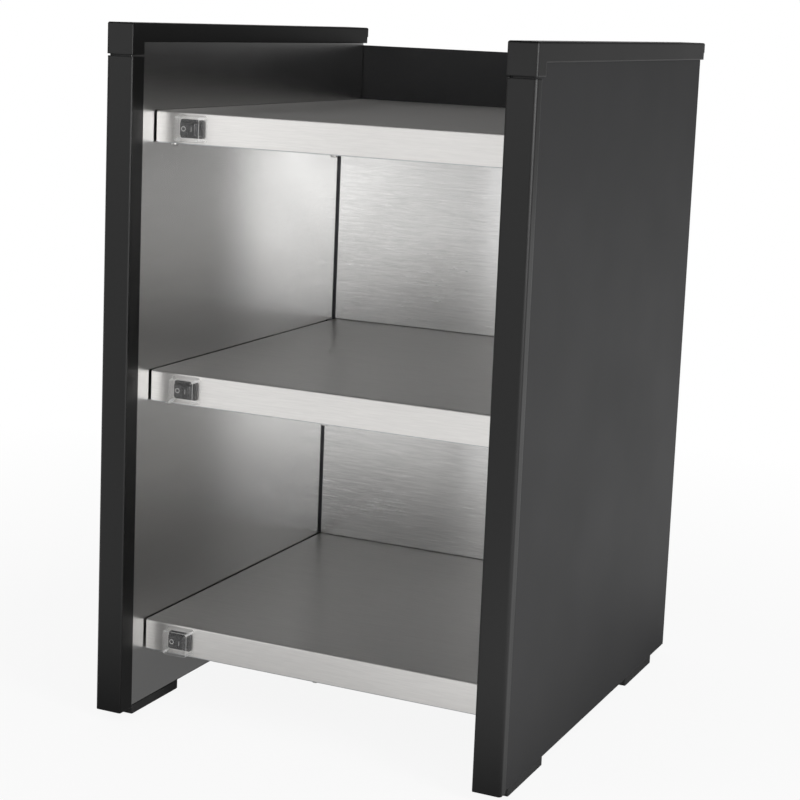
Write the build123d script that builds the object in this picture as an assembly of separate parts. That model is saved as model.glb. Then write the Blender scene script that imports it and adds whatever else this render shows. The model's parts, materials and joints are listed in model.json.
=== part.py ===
from build123d import *
import os

# Cup warmer with three heated shelves between two side panels.
# Millimetres. Z up, front towards -Y, origin on the floor at the middle of the footprint.

# Overall sizes
width = 364.0
height = 575.0
panel_depth = 418.5
cap_overhang = 5.0
foot_height = 8.0

# Side panels
post_width = 24.0
post_return = 17.5
post_wrap = 10.0
post_wall = 2.0
post_corner = 2.5
post_inner_corner = 1.5
sheet = 0.9
liner_sheet = 0.6
groove = 1.5

# Top caps
cap_front_height = 25.0
cap_side_height = 15.0
cap_wall = 2.0
cap_edge = 1.5
cap_spigot = 8.0
cap_fit = 0.2
cap_step_height = 6.0
cap_step = 1.6

# Shelves
shelf_setback = 39.0
shelf_top_drop = 69.5
shelf_pitch = 213.3
fascia_height = 25.0
tray_sheet = 0.8
tray_bend = 1.6
shelf_side_gap = 1.4
tray_return = 9.0
middle_tray_overrun = 11.5

# Rear
back_wall_inset = 45.0
back_wall_step = 15.0
back_sheet = 0.7
back_side_gap = 2.0
back_end_gap = 0.6
back_flange = 9.0
bracket_leg = 14.0
cover_edge = 10.0
cover_hem = 12.0
cover_top_gap = 2.0
vent_length = 58.0
vent_height = 4.0
vent_pitch = 9.0
vent_rows = 6
vent_spacing = 75.0
vent_corner = 1.9

# Panel stiffeners and shelf fixings
stiffener_height = 22.0
stiffener_drop = 50.0
stiffener_inset = 22.0
shelf_screw = 4.0
shelf_screw_head = 7.6
shelf_screw_inset = 82.0
shelf_screw_head_height = 2.0
nut_diameter = 7.0
nut_length = 6.0
washer_diameter = 9.0
hole_clearance = 0.1

# Small screws under the shelves and on the rear cover
floor_screw = 3.0
floor_screw_head = 5.6
floor_screw_head_height = 1.8
floor_screw_length = 5.0
cover_screw = 4.0
cover_screw_head = 8.0
cover_screw_head_height = 2.4
cover_screw_length = 6.0
cover_screw_count = 5
cover_screw_inset = 14.5
floor_screw_inset = 5.0
head_round = 0.45
recess_depth = 0.45
recess_length = 0.64
recess_width = 0.12

# Inside the shelves
heater_thickness = 1.5
heater_margin = 14.0
insulation_thickness = 10.0
insulation_edge = 1.0
wiring_channel = 52.0
front_bay = 48.0
rear_bay = 12.0
thermostat_diameter = 16.0
thermostat_height = 9.0
thermostat_flange = 24.0
thermostat_tab_spacing = 12.0

# Switches
switch_inset = 57.5
switch_drop = 13.0
bezel_width = 21.0
bezel_height = 15.0
bezel_depth = 2.0
bezel_corner = 1.6
body_width = 19.0
body_height = 13.0
body_depth = 17.0
pocket_width = 16.2
pocket_height = 10.8
pocket_depth = 6.5
rocker_width = 15.0
rocker_height = 10.0
rocker_front = 9.0
rocker_back = 3.0
rocker_valley = 0.7
rocker_tilt = 8.0
rocker_edge = 0.5
rocker_heel = 11.0
pivot_depth = 1.5
pivot_pin = 2.4
pivot_pin_length = 0.9
pivot_gap = 0.05
tab_width = 4.8
tab_sheet = 0.8
tab_length = 7.0
tab_pitch = 5.6

# Splash hoods
hood_width = 25.4
hood_front_width = 23.2
hood_front_height = 20.2
hood_height = 21.0
hood_depth = 11.0
hood_wall = 1.2
hood_front = 1.5
hood_window_width = 19.6
hood_window_height = 15.6
hood_window_depth = 0.7
hood_corner = 3.0
hood_lip = 0.7
hood_lip_depth = 1.2
hood_edge = 0.7

# Wiring and mains entry
lead_diameter = 5.0
lead_bend = 7.0
lead_pitch = 11.0
lead_rear_inset = 15.5
grommet_head = 11.0
grommet_neck = 8.0
grommet_lip = 1.2
terminal_width = 54.0
terminal_height = 16.0
terminal_depth = 20.0
terminal_rise = 71.1
terminal_poles = 5
terminal_wall = 1.0
terminal_slot_depth = 8.0
terminal_hole = 4.8
terminal_hole_depth = 6.0
entry_rise = 33.1
entry_offset = 47.5
entry_head = 21.0
entry_head_depth = 3.2
entry_neck = 15.6
entry_neck_depth = 9.0
entry_collar = 19.0
entry_collar_depth = 2.5
entry_bore = 8.0
entry_edge = 1.3
entry_flat = 6.5

# Feet
foot_length = 73.0
foot_front_inset = 22.0
foot_rear_inset = 38.0
foot_edge = 1.5
foot_bevel = 0.9
foot_screw = 4.0
foot_screw_head = 7.5
foot_screw_head_height = 2.4
foot_screw_sink = 3.4
foot_screw_length = 12.0
foot_screw_pitch = 44.0

# Levels and planes worked out from the sizes above
left = -width / 2
front = -(panel_depth + cap_overhang) / 2
rear = front + panel_depth
cap_rear = rear + cap_overhang
post_inner = left + post_width
sheet_out = left + post_wall
liner_face = post_inner - post_wall
inner_face = liner_face - liner_sheet
inner_back = inner_face - sheet
post_top = height - cap_front_height - groove
cap_bottom = height - cap_front_height
cap_side_bottom = height - cap_side_height
sheet_top = height - cap_wall
tray_left = liner_face + shelf_side_gap
tray_front = front + shelf_setback
upper_wall = rear - back_wall_inset
lower_wall = upper_wall - back_wall_step
shelf_top_level = height - shelf_top_drop
levels = {
    "top": shelf_top_level,
    "middle": shelf_top_level - shelf_pitch,
    "bottom": shelf_top_level - 2 * shelf_pitch,
}
tray_ends = {
    "top": rear,
    "middle": upper_wall + middle_tray_overrun,
    "bottom": rear,
}
floor_bottom = fascia_height + tray_sheet
cover_bottom = levels["bottom"] - floor_bottom
cover_top = cap_side_bottom - cover_top_gap
entry_level = levels["bottom"] + entry_rise
terminal_level = levels["bottom"] + terminal_rise
switch_x = left + switch_inset
pivot_y = tray_front + pivot_depth
lead_y = rear - lead_rear_inset
switch_back = tray_front + body_depth + tab_length


def block(x0, x1, y0, y1, z0, z1):
    size = Box(x1 - x0, y1 - y0, z1 - z0)
    return Pos((x0 + x1) / 2, (y0 + y1) / 2, (z0 + z1) / 2) * size


def rod_z(x, y, z0, z1, diameter):
    return Pos(x, y, (z0 + z1) / 2) * Cylinder(diameter / 2, z1 - z0)


def rod_y(x, z, y0, y1, diameter):
    bar = Rot(90, 0, 0) * Cylinder(diameter / 2, y1 - y0)
    return Pos(x, (y0 + y1) / 2, z) * bar


def rod_x(y, z, x0, x1, diameter):
    bar = Rot(0, 90, 0) * Cylinder(diameter / 2, x1 - x0)
    return Pos((x0 + x1) / 2, y, z) * bar


def rounded_y(x, z, y0, y1, w, h, r):
    # rectangle with round corners facing the front, pushed back from y0 to y1
    shape = block(x - w / 2, x + w / 2, y0, y1, z - h / 2, z + h / 2)
    return fillet(shape.edges().filter_by(Axis.Y), r)


def other_side(shape):
    return mirror(shape, about=Plane.YZ)


def gather(parts):
    return Compound(children=[Solid(p.solid().wrapped) for p in parts])


def screw_up(x, y, z_seat, shank, shank_length, head, head_height):
    # pan head screw driven upwards, its head hanging below z_seat
    pin = rod_z(x, y, z_seat, z_seat + shank_length, shank)
    cap = rod_z(x, y, z_seat - head_height, z_seat, head)
    rim = cap.edges().sort_by(Axis.Z)[0]
    cap = fillet(rim, head_height * head_round)
    half = head * recess_length / 2
    thin = head * recess_width / 2
    z0 = z_seat - head_height - 1
    z1 = z_seat - head_height * (1 - recess_depth)
    recess = block(x - half, x + half, y - thin, y + thin, z0, z1)
    recess += block(x - thin, x + thin, y - half, y + half, z0, z1)
    return pin + cap - recess


def screw_y(x, z, y_seat, shank, shank_length, head, head_height):
    # the same screw driven towards the front, its head standing on y_seat
    screw = screw_up(0, 0, 0, shank, shank_length, head, head_height)
    return Pos(x, y_seat, z) * Rot(90, 0, 0) * screw


# Places of the fixings

def shelf_screw_places():
    spots = []
    for name in levels:
        z = levels[name] - fascia_height / 2
        spots.append((tray_front + shelf_screw_inset, z))
        spots.append((upper_wall - shelf_screw_inset, z))
    return spots


def floor_screw_places(name):
    y0 = tray_front + floor_screw_inset
    y1 = tray_ends[name] - floor_screw_inset
    x0 = tray_left + heater_margin
    return [(x, y) for y in (y0, y1) for x in (x0, 0.0, -x0)]


def cover_screw_places():
    x = left + cover_screw_inset
    z0 = cover_bottom + cover_hem
    z1 = cover_top - cover_hem
    step = (z1 - z0) / (cover_screw_count - 1)
    return [(s * x, z0 + i * step) for s in (1, -1) for i in range(cover_screw_count)]


def foot_places():
    y_front = front + foot_front_inset + foot_length / 2
    y_rear = rear - foot_rear_inset - foot_length / 2
    x = (sheet_out + liner_face) / 2
    return {"front": (x, y_front), "rear": (x, y_rear)}


# Side panel pieces, drawn on the left and mirrored for the right

def front_post():
    z0 = foot_height
    skin = block(left, post_inner, front, front + post_return, z0, post_top)
    hollow = block(sheet_out, liner_face, front + post_wall, front + post_return + 1,
                   z0 - 1, post_top + 1)
    trim = block(left - 1, sheet_out, front + post_wrap, front + post_return + 1,
                 z0 - 1, post_top + 1)
    upright = skin.edges().filter_by(Axis.Z).group_by(Axis.X)
    inner_nose = upright[-1].sort_by(Axis.Y)[0]
    skin = fillet(inner_nose, post_inner_corner)
    upright = skin.edges().filter_by(Axis.Z).group_by(Axis.X)
    outer_nose = upright[0].sort_by(Axis.Y)[0]
    skin = fillet(outer_nose, post_corner)
    return skin - hollow - trim


def side_sheet():
    # outer sheet with its bottom flange and its rear flange in one folding
    z0 = foot_height
    face = block(sheet_out, sheet_out + sheet, front + post_wall, rear, z0, sheet_top)
    under = block(sheet_out, inner_face, front + post_return, rear, z0, z0 + sheet)
    back = block(sheet_out, inner_face, rear - sheet, rear, z0, sheet_top)
    body = face + under + back
    for x, z in cover_screw_places():
        if x < 0:
            body -= rod_y(x, z, rear - sheet - 1, rear + 1, cover_screw + hole_clearance)
    for x, y in foot_places().values():
        for step in (-foot_screw_pitch / 2, foot_screw_pitch / 2):
            body -= rod_z(x, y + step, z0 - 1, z0 + sheet + 1, foot_screw + hole_clearance)
    return body


def inner_sheet():
    body = block(inner_back, inner_face, front + post_wall, rear - sheet,
                 foot_height + sheet, sheet_top)
    for y, z in shelf_screw_places():
        body -= rod_x(y, z, inner_back - 1, inner_face + 1, shelf_screw + hole_clearance)
    return body


def liner():
    # steel skin over the whole inner face of the panel, from its floor to under its cap
    body = block(inner_face, liner_face, front + post_wall, rear - sheet,
                 foot_height + sheet, sheet_top)
    for y, z in shelf_screw_places():
        body -= rod_x(y, z, inner_face - 1, liner_face + 1, shelf_screw + hole_clearance)
    return body


def panel_stiffener():
    # channel lying along the panel, web against the inner sheet
    z1 = levels["middle"] - stiffener_drop
    z0 = z1 - stiffener_height
    y0 = front + stiffener_inset
    y1 = rear - stiffener_inset
    full = block(sheet_out + sheet, inner_back, y0, y1, z0, z1)
    hollow = block(sheet_out + sheet - 1, inner_back - sheet, y0 - 1, y1 + 1,
                   z0 + sheet, z1 - sheet)
    return full - hollow


def top_cap():
    skin = block(left, post_inner, front, cap_rear, cap_bottom, height)
    rim = skin.edges().group_by(Axis.Z)[-1]
    corner = skin.edges().filter_by(Axis.Z).group_by(Axis.Y)[0].sort_by(Axis.X)[0]
    skin = fillet(rim + [corner], cap_edge)
    side_cut = block(left - 1, post_inner + 1, front + post_return, cap_rear + 1,
                     cap_bottom - 1, cap_side_bottom)
    step_cut = block(left - 1, post_inner + 1, cap_rear - cap_step, cap_rear + 1,
                     cap_bottom - 1, cap_side_bottom + cap_step_height)
    hollow = block(sheet_out, liner_face, front + post_wall,
                   cap_rear - cap_step - cap_wall, cap_bottom - 1, sheet_top)
    x0 = sheet_out + sheet + cap_fit
    x1 = inner_back - cap_fit
    nose = block(x0, x1, front + post_wall / 2, front + post_return, cap_bottom, sheet_top)
    plug = block(x0, x1, front + post_wall + cap_fit, front + post_return,
                 post_top - cap_spigot, cap_bottom)
    return skin - side_cut - step_cut - hollow + plug + nose


# Shelf pieces

def tray(name):
    z = levels[name]
    y1 = tray_ends[name]
    z0 = z - fascia_height
    skin = block(tray_left, -tray_left, tray_front, y1, z0, z)
    brow = skin.edges().filter_by(Axis.X).group_by(Axis.Z)[-1].sort_by(Axis.Y)[0]
    skin = fillet(brow, tray_bend)
    t = tray_sheet
    room = block(tray_left + t, -tray_left - t, tray_front + t, y1 - t, z0 + t, z - t)
    inner_brow = room.edges().filter_by(Axis.X).group_by(Axis.Z)[-1].sort_by(Axis.Y)[0]
    room = fillet(inner_brow, tray_bend - tray_sheet)
    mouth = block(tray_left + tray_return, -tray_left - tray_return,
                  tray_front + tray_return, y1 - tray_return, z0 - 1, z0 + t + 1)
    body = skin - room - mouth
    zc = z - switch_drop
    half_w = body_width / 2 + hole_clearance
    half_h = body_height / 2 + hole_clearance
    body -= block(switch_x - half_w, switch_x + half_w, tray_front - 1, tray_front + t + 1,
                  zc - half_h, zc + half_h)
    for y, zs in shelf_screw_places():
        if abs(zs - (z - fascia_height / 2)) < 1:
            body -= rod_x(y, zs, tray_left - 1, tray_left + t + 1, shelf_screw + hole_clearance)
            body -= rod_x(y, zs, -tray_left - t - 1, -tray_left + 1, shelf_screw + hole_clearance)
    for x, y in floor_screw_places(name):
        body -= rod_z(x, y, z0 - 1, z0 + t + 1, floor_screw + hole_clearance)
    if name == "middle":
        body -= rod_y(lead_x(name), lead_z(name), y1 - t - 1, y1 + 1, grommet_neck)
    if name == "bottom":
        body -= rod_z(lead_x(name), lead_y, z - t - 1, z + 1, grommet_neck)
    return body


def tray_floor(name):
    z1 = levels[name] - fascia_height
    t = tray_sheet
    body = block(tray_left + t, -tray_left - t, tray_front + t, tray_ends[name] - t,
                 z1 - t, z1)
    for x, y in floor_screw_places(name):
        body -= rod_z(x, y, z1 - t - 1, z1 + 1, floor_screw + hole_clearance)
    if name == "top":
        body -= rod_z(lead_x(name), lead_y, z1 - t - 1, z1 + 1, grommet_neck)
    return body


def tray_floor_screws():
    parts = []
    for name in levels:
        seat = levels[name] - fascia_height - tray_sheet
        for x, y in floor_screw_places(name):
            parts.append(screw_up(x, y, seat, floor_screw, floor_screw_length,
                                  floor_screw_head, floor_screw_head_height))
    return gather(parts)


def heater_span(name):
    x0 = tray_left + wiring_channel
    x1 = -tray_left - heater_margin
    y0 = tray_front + front_bay
    y1 = upper_wall - rear_bay
    return x0, x1, y0, y1


def heater_mat(name):
    x0, x1, y0, y1 = heater_span(name)
    z1 = levels[name] - tray_sheet
    mat = block(x0, x1, y0, y1, z1 - heater_thickness, z1)
    mat = fillet(mat.edges().filter_by(Axis.Z), heater_margin / 2)
    tail = block(x0 - heater_margin, x0 + 1, (y0 + y1) / 2 - heater_margin,
                 (y0 + y1) / 2 + heater_margin, z1 - heater_thickness, z1)
    return mat + tail


def insulation_pad(name):
    x0, x1, y0, y1 = heater_span(name)
    z1 = levels[name] - tray_sheet - heater_thickness
    edge = insulation_edge
    pad = block(x0 + edge, x1 - edge, y0 + edge, y1 - edge, z1 - insulation_thickness, z1)
    return chamfer(pad.edges().group_by(Axis.Z)[0], edge)


def thermostat(name):
    x0, x1, y0, y1 = heater_span(name)
    x = x0 + thermostat_flange * 2
    y = y0 - thermostat_diameter / 2 - 2
    z1 = levels[name] - tray_sheet
    cup = rod_z(x, y, z1 - thermostat_height, z1, thermostat_diameter)
    ears = block(x - thermostat_flange / 2, x + thermostat_flange / 2,
                 y - thermostat_diameter / 4, y + thermostat_diameter / 4, z1 - 1, z1)
    body = cup + ears
    low = z1 - thermostat_height - tab_length / 2
    for side in (-1, 1):
        xt = x + side * thermostat_tab_spacing / 2
        body += block(xt - tab_sheet / 2, xt + tab_sheet / 2, y - tab_width / 2, y + tab_width / 2,
                      low, z1 - thermostat_height + 1)
    return body


# Rear pieces

def back_wall(face_y, below, above):
    z0 = levels[below] + back_end_gap
    z1 = levels[above] - floor_bottom - back_end_gap
    edge = liner_face + back_side_gap
    plate = block(edge, -edge, face_y, face_y + back_sheet, z0, z1)
    inset = edge + bracket_leg + back_side_gap
    foot = block(inset, -inset, face_y, face_y + back_flange, z0, z0 + back_sheet)
    head = block(inset, -inset, face_y, face_y + back_flange, z1 - back_sheet, z1)
    return plate + foot + head


def back_bracket():
    # one folded strip a side, with a pad behind the lower wall and one behind the upper wall
    low = levels["bottom"] + back_end_gap
    low_end = levels["middle"] - floor_bottom - back_end_gap
    high = levels["middle"] + back_end_gap
    high_end = levels["top"] - floor_bottom - back_end_gap
    y_low = lower_wall + back_sheet
    y_high = upper_wall + back_sheet
    body = block(liner_face, liner_face + sheet, y_low, y_low + bracket_leg, low, high)
    body += block(liner_face, liner_face + sheet, y_high, y_high + bracket_leg, low_end, high_end)
    body += block(liner_face, liner_face + sheet, y_low, y_high + bracket_leg, low_end, high)
    body += block(liner_face, liner_face + bracket_leg, y_low, y_low + sheet, low, low_end)
    body += block(liner_face, liner_face + bracket_leg, y_high, y_high + sheet, high, high_end)
    return body


def rear_cover():
    edge = left + cover_edge
    body = block(edge, -edge, rear, rear + sheet, cover_bottom, cover_top)
    inner = post_inner + cap_step
    body += block(inner, -inner, rear + sheet, rear + 2 * sheet, cover_top - cover_hem, cover_top)
    for x, z in cover_screw_places():
        body -= rod_y(x, z, rear - 1, rear + sheet + 1, cover_screw + hole_clearance)
    body -= rod_y(entry_offset, entry_level, rear - 1, rear + sheet + 1, entry_neck)
    for name in ("top", "middle"):
        z_first = levels[name] - floor_bottom - 2 * vent_pitch
        for row in range(vent_rows):
            z = z_first - row * vent_pitch
            for x in (-vent_spacing, 0.0, vent_spacing):
                body -= rounded_y(x, z, rear - 1, rear + sheet + 1, vent_length, vent_height,
                                  vent_corner)
    return body


def rear_cover_screws():
    parts = []
    for x, z in cover_screw_places():
        parts.append(screw_y(x, z, rear + sheet, cover_screw, cover_screw_length,
                             cover_screw_head, cover_screw_head_height))
    return gather(parts)


def cable_entry():
    x = entry_offset
    z = entry_level
    seat = rear + sheet
    head = rod_y(x, z, seat, seat + entry_head_depth, entry_head)
    head = fillet(head.edges().sort_by(Axis.Y)[-1], entry_edge)
    neck = rod_y(x, z, seat - entry_neck_depth, seat, entry_neck - hole_clearance)
    bore = rod_y(x, z, seat - entry_neck_depth - 1, seat + entry_head_depth + 1, entry_bore)
    flat = block(x - entry_neck, x + entry_neck, seat - entry_neck_depth - 1, rear,
                 z + entry_flat, z + entry_neck)
    return head + neck - bore - flat


def cable_entry_collar():
    x = entry_offset
    z = entry_level
    ring = rod_y(x, z, rear - entry_collar_depth, rear, entry_collar)
    return ring - rod_y(x, z, rear - entry_collar_depth - 1, rear + 1, entry_neck)


def terminal_block():
    x = switch_x
    z0 = terminal_level
    z1 = z0 + terminal_height
    body = block(x - terminal_width / 2, x + terminal_width / 2, rear - terminal_depth, rear, z0, z1)
    pitch = terminal_width / terminal_poles
    y0 = rear - terminal_depth
    for i in range(1, terminal_poles):
        gap = x - terminal_width / 2 + i * pitch
        body -= block(gap - terminal_wall / 2, gap + terminal_wall / 2, y0 - 1,
                      y0 + terminal_slot_depth, z0 - 1, z1 + 1)
    for i in range(terminal_poles):
        mid = x - terminal_width / 2 + (i + 0.5) * pitch
        body -= rod_y(mid, (z0 + z1) / 2, y0 - 1, y0 + terminal_hole_depth, terminal_hole)
    return body


# Fixings inside the panels

def shelf_screws():
    parts = []
    for y, z in shelf_screw_places():
        head = rod_x(y, z, inner_back - shelf_screw_head_height, inner_back, shelf_screw_head)
        pin = rod_x(y, z, inner_back, tray_left + tray_sheet + nut_length, shelf_screw)
        one = head + pin
        parts.append(one)
        parts.append(other_side(one))
    return gather(parts)


def shelf_spacers():
    parts = []
    for y, z in shelf_screw_places():
        ring = rod_x(y, z, liner_face, tray_left, washer_diameter)
        ring -= rod_x(y, z, liner_face - 1, tray_left + 1, shelf_screw + hole_clearance)
        parts.append(ring)
        parts.append(other_side(ring))
    return gather(parts)


def shelf_nuts():
    parts = []
    x0 = tray_left + tray_sheet
    for y, z in shelf_screw_places():
        ring = rod_x(y, z, x0, x0 + nut_length, nut_diameter)
        ring -= rod_x(y, z, x0 - 1, x0 + nut_length + 1, shelf_screw + hole_clearance)
        parts.append(ring)
        parts.append(other_side(ring))
    return gather(parts)


# Feet

def foot(place):
    x, y = place
    half = (liner_face - sheet_out) / 2
    body = block(x - half, x + half, y - foot_length / 2, y + foot_length / 2, 0, foot_height)
    body = fillet(body.edges().filter_by(Axis.Z), foot_edge)
    body = chamfer(body.edges().group_by(Axis.Z)[0], foot_bevel)
    for step in (-foot_screw_pitch / 2, foot_screw_pitch / 2):
        body -= rod_z(x, y + step, -1, foot_screw_sink, foot_screw_head + 1)
        body -= rod_z(x, y + step, -1, foot_height + 1, foot_screw + hole_clearance)
    return body


def foot_screws():
    parts = []
    for x, y in foot_places().values():
        for step in (-foot_screw_pitch / 2, foot_screw_pitch / 2):
            one = screw_up(x, y + step, foot_screw_sink, foot_screw, foot_screw_length,
                           foot_screw_head, foot_screw_head_height)
            parts.append(one)
            parts.append(other_side(one))
    return gather(parts)


# Switches

def switch_body(name):
    z = levels[name] - switch_drop
    y0 = tray_front
    rim = rounded_y(switch_x, z, y0 - bezel_depth, y0, bezel_width, bezel_height, bezel_corner)
    shell = block(switch_x - body_width / 2, switch_x + body_width / 2, y0, y0 + body_depth,
                  z - body_height / 2, z + body_height / 2)
    pocket = block(switch_x - pocket_width / 2, switch_x + pocket_width / 2, y0 - bezel_depth - 1,
                   y0 + pocket_depth, z - pocket_height / 2, z + pocket_height / 2)
    body = rim + shell - pocket
    reach = rocker_height / 2 + pivot_pin_length + 2 * pivot_gap
    body -= rod_z(switch_x, pivot_y, z - reach, z + reach, pivot_pin + 2 * pivot_gap)
    return body


def rocker(name):
    z = levels[name] - switch_drop
    w = rocker_width / 2
    outline = Polyline(
        (-w, -rocker_front),
        (0, -rocker_front + rocker_valley),
        (w, -rocker_front),
        (w - rocker_edge, 0),
        (rocker_heel / 2, rocker_back),
        (-rocker_heel / 2, rocker_back),
        (-w + rocker_edge, 0),
        (-w, -rocker_front),
    )
    body = extrude(make_face(outline), amount=rocker_height / 2, both=True)
    lips = body.edges().filter_by(Axis.Z).group_by(Axis.Y)[0]
    body = fillet(lips, rocker_edge)
    reach = rocker_height / 2 + pivot_pin_length
    body += rod_z(0, 0, -reach, reach, pivot_pin)
    return Pos(switch_x, pivot_y, z) * Rot(0, 0, -rocker_tilt) * body


def switch_tabs():
    parts = []
    y0 = tray_front + body_depth
    for name in levels:
        z = levels[name] - switch_drop
        for i in (-1, 0, 1):
            x = switch_x + i * tab_pitch
            parts.append(block(x - tab_sheet / 2, x + tab_sheet / 2, y0, y0 + tab_length,
                               z - tab_width / 2, z + tab_width / 2))
    return gather(parts)


def drafted(x, z, y0, y1, w0, h0, w1, h1, r):
    # round-cornered block that narrows from w0 by h0 at y0 to w1 by h1 at y1
    back = Plane(origin=(x, y0, z), x_dir=(1, 0, 0), z_dir=(0, -1, 0))
    face = Plane(origin=(x, y1, z), x_dir=(1, 0, 0), z_dir=(0, -1, 0))
    return loft([back * RectangleRounded(w0, h0, r), face * RectangleRounded(w1, h1, r)])


def hood(name):
    # boot with drafted sides, a lip against the tray and a thinner window over the rocker
    z = levels[name] - switch_drop
    y0 = tray_front
    y_front = y0 - hood_depth
    skin = drafted(switch_x, z, y0, y_front, hood_width, hood_height,
                   hood_front_width, hood_front_height, hood_corner)
    nose = skin.edges().group_by(Axis.Y)[0]
    skin = fillet(nose, hood_edge)
    lip = rounded_y(switch_x, z, y0 - hood_lip_depth, y0, hood_width + 2 * hood_lip,
                    hood_height + 2 * hood_lip, hood_corner + hood_lip)
    two = 2 * hood_wall
    room = drafted(switch_x, z, y0 + 0.01, y_front + hood_front, hood_width - two, hood_height - two,
                   hood_front_width - two, hood_front_height - two, hood_corner - hood_wall / 2)
    window = rounded_y(switch_x, z, y_front - 1, y_front + hood_window_depth,
                       hood_window_width, hood_window_height, hood_corner / 2)
    return skin + lip - room - window


# Wiring

def lead_x(name):
    order = {"top": -1, "middle": 0, "bottom": 1}
    return switch_x + order[name] * lead_pitch


def lead_z(name):
    return levels[name] - switch_drop


def lead(name):
    # sleeved lead from the switch to the terminal block behind the back walls
    x = lead_x(name)
    z = lead_z(name)
    end = terminal_level + terminal_height
    if name == "bottom":
        end = terminal_level
    points = [(switch_x, switch_back, z)]
    if name != "middle":
        turn = switch_back + 2 * lead_bend
        points.append((switch_x, turn, z))
        points.append((x, turn + 2 * lead_bend, z))
    points.append((x, lead_y, z))
    points.append((x, lead_y, end))
    path = FilletPolyline(*points, radius=lead_bend)
    section = Plane(origin=path @ 0, z_dir=path % 0) * Circle(lead_diameter / 2)
    return sweep(section, path=path)


def lead_grommets():
    parts = []
    bore = lead_diameter + hole_clearance
    t = tray_sheet
    spots = [
        ("top", levels["top"] - floor_bottom),
        ("bottom", levels["bottom"] - t),
    ]
    for name, z0 in spots:
        ring = rod_z(lead_x(name), lead_y, z0 - grommet_lip, z0 + t + grommet_lip, grommet_head)
        neck = rod_z(lead_x(name), lead_y, z0, z0 + t, grommet_head + 2)
        neck -= rod_z(lead_x(name), lead_y, z0 - 1, z0 + t + 1, grommet_neck)
        ring -= neck
        ring -= rod_z(lead_x(name), lead_y, z0 - 9, z0 + 9, bore)
        parts.append(ring)
    y1 = tray_ends["middle"]
    x = lead_x("middle")
    z = lead_z("middle")
    ring = rod_y(x, z, y1 - t - grommet_lip, y1 + grommet_lip, grommet_head)
    neck = rod_y(x, z, y1 - t, y1, grommet_head + 2) - rod_y(x, z, y1 - t - 1, y1 + 1, grommet_neck)
    ring -= neck
    ring -= rod_y(x, z, y1 - 9, y1 + 9, bore)
    parts.append(ring)
    return gather(parts)


def nodes():
    yield "front_post_left", front_post()
    yield "front_post_right", other_side(front_post())
    yield "side_sheet_left", side_sheet()
    yield "side_sheet_right", other_side(side_sheet())
    yield "inner_sheet_left", inner_sheet()
    yield "inner_sheet_right", other_side(inner_sheet())
    yield "liner_left", liner()
    yield "liner_right", other_side(liner())
    yield "top_cap_left", top_cap()
    yield "top_cap_right", other_side(top_cap())
    yield "panel_stiffener_left", panel_stiffener()
    yield "panel_stiffener_right", other_side(panel_stiffener())
    for name in levels:
        yield "shelf_tray_" + name, tray(name)
        yield "shelf_floor_" + name, tray_floor(name)
        yield "heater_mat_" + name, heater_mat(name)
        yield "insulation_pad_" + name, insulation_pad(name)
        yield "thermostat_" + name, thermostat(name)
        yield "switch_body_" + name, switch_body(name)
        yield "rocker_" + name, rocker(name)
        yield "splash_hood_" + name, hood(name)
        yield "lead_" + name, lead(name)
    yield "shelf_floor_screws", tray_floor_screws()
    yield "back_wall_upper", back_wall(upper_wall, "middle", "top")
    yield "back_wall_lower", back_wall(lower_wall, "bottom", "middle")
    yield "back_bracket_left", back_bracket()
    yield "back_bracket_right", other_side(back_bracket())
    yield "rear_cover", rear_cover()
    yield "rear_cover_screws", rear_cover_screws()
    yield "cable_entry", cable_entry()
    yield "cable_entry_collar", cable_entry_collar()
    yield "terminal_block", terminal_block()
    yield "shelf_screws", shelf_screws()
    yield "shelf_spacers", shelf_spacers()
    yield "shelf_nuts", shelf_nuts()
    yield "switch_tabs", switch_tabs()
    yield "lead_grommets", lead_grommets()
    for end, place in foot_places().items():
        yield "foot_left_" + end, foot(place)
        yield "foot_right_" + end, other_side(foot(place))
    yield "foot_screws", foot_screws()


os.makedirs("parts", exist_ok=True)
for node, shape in nodes():
    export_step(shape, os.path.join("parts", node + ".step"))
    print(node)
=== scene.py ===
# %% [markdown]
# A cup warmer: three heated shelves held between two black side panels.
# The solids come from CAD and already have their real size and place, in metres, standing on z = 0.
# This script gives every surface its finish, adds the fine pieces that solids leave out, and lights it.

# %% Load the frame
import json
import math
import bmesh
import bpy
from mathutils import Euler, Matrix, Vector


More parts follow.
